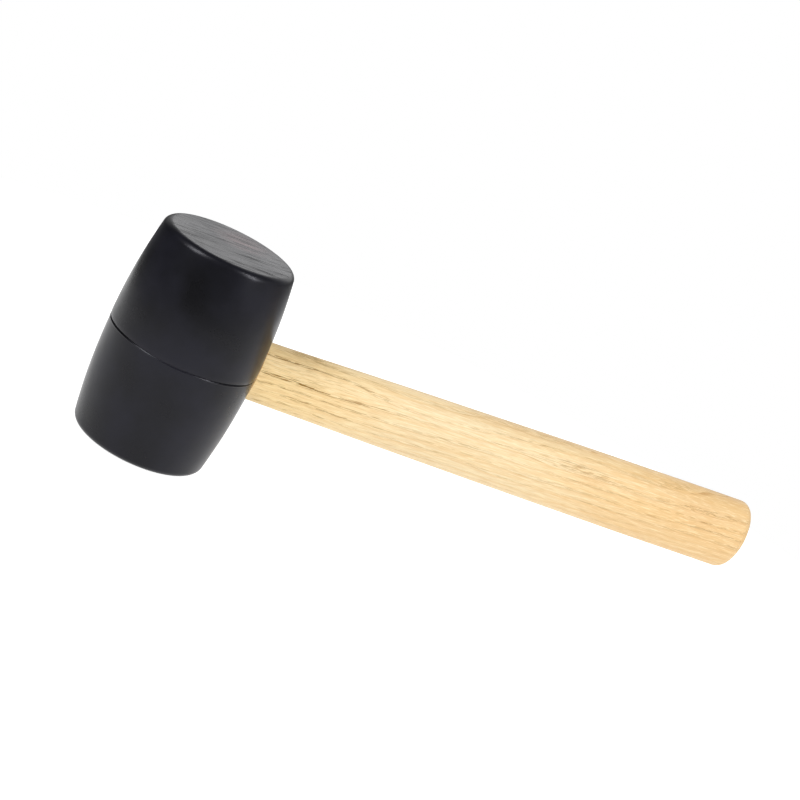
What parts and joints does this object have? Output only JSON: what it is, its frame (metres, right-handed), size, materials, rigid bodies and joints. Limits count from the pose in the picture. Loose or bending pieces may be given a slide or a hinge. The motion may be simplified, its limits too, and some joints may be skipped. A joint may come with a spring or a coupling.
{
  "type": "rubber mallet",
  "caption": "Rubber mallet: a black moulded barrel head with flat faces, glued to a straight oval ash handle that swells towards a rounded butt.",
  "frame": {"origin": "centre of the lower striking face", "axes": "+Z along the head's axis to the upper striking face, +X along the handle to its butt, +Y completes a right-handed frame"},
  "size_m": [0.3362, 0.0672, 0.096],
  "materials": {
    "black_rubber": "satin moulded rubber, a little greyer and scuffed on the striking faces",
    "ash_wood": "pale sanded ash under a thin clear coat, with short dark pores along the grain",
    "cured_glue": "cured amber epoxy, smooth where it squeezed out at the mouth of the socket"
  },
  "bodies": {
    "root": {"rubber_head": "black_rubber", "handle": "ash_wood", "adhesive": "cured_glue"}
  },
  "joints": []
}
